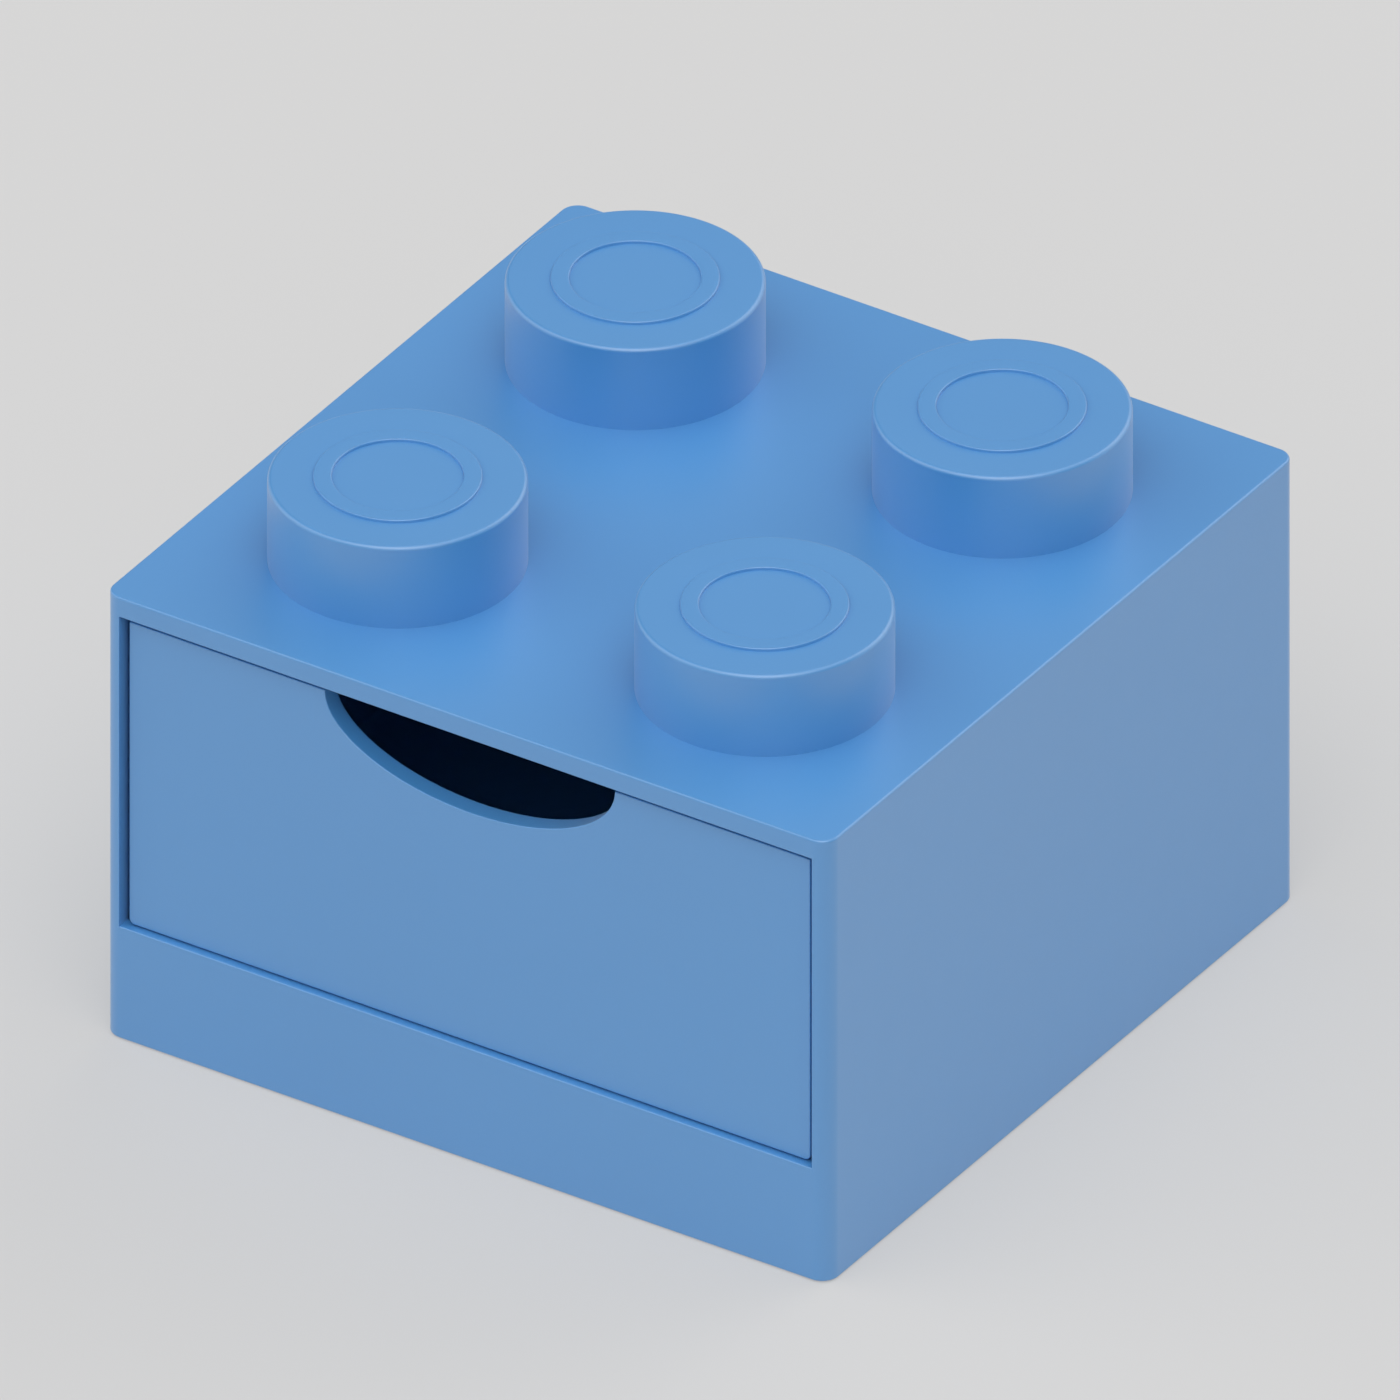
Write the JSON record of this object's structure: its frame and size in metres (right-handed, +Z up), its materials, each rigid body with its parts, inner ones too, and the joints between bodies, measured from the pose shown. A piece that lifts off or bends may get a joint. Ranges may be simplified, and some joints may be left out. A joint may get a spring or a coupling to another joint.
{
  "type": "stackable storage drawer",
  "caption": "Stackable desk storage drawer shaped as a toy building brick, with round knobs on top and a finger notch in the drawer front.",
  "frame": {"origin": "middle of the footprint, on the surface that the feet stand on", "axes": "+Z up, the drawer front faces -Y and +X is to the right seen from the front"},
  "size_m": [0.158, 0.158, 0.1141],
  "materials": {
    "casing_plastic": "smooth satin moulded plastic, light blue",
    "inner_plastic": "moulded plastic of the same blue, duller",
    "screw_steel": "zinc plated",
    "foot_rubber": "matt black rubber",
    "glide_plastic": "slippery off-white plastic tape"
  },
  "bodies": {
    "casing": {"casing_shell": "casing_plastic", "deck": "inner_plastic", "deck_screw_front_left": "screw_steel", "deck_screw_front_right": "screw_steel", "deck_screw_rear_left": "screw_steel", "deck_screw_rear_right": "screw_steel", "foot_front_left": "foot_rubber", "foot_front_right": "foot_rubber", "foot_rear_left": "foot_rubber", "foot_rear_right": "foot_rubber", "glide_strip_left": "glide_plastic", "glide_strip_right": "glide_plastic", "rear_bumper_left": "foot_rubber", "rear_bumper_right": "foot_rubber"},
    "drawer": {"drawer_tray": "inner_plastic", "drawer_front": "casing_plastic", "front_screw_lower_left": "screw_steel", "front_screw_lower_right": "screw_steel", "front_screw_upper_left": "screw_steel", "front_screw_upper_right": "screw_steel"}
  },
  "joints": [
    {"name": "drawer_slide", "type": "slide", "parent": "casing", "child": "drawer", "axis": [0, -1, 0], "range_m": [0, 0.11]}
  ]
}
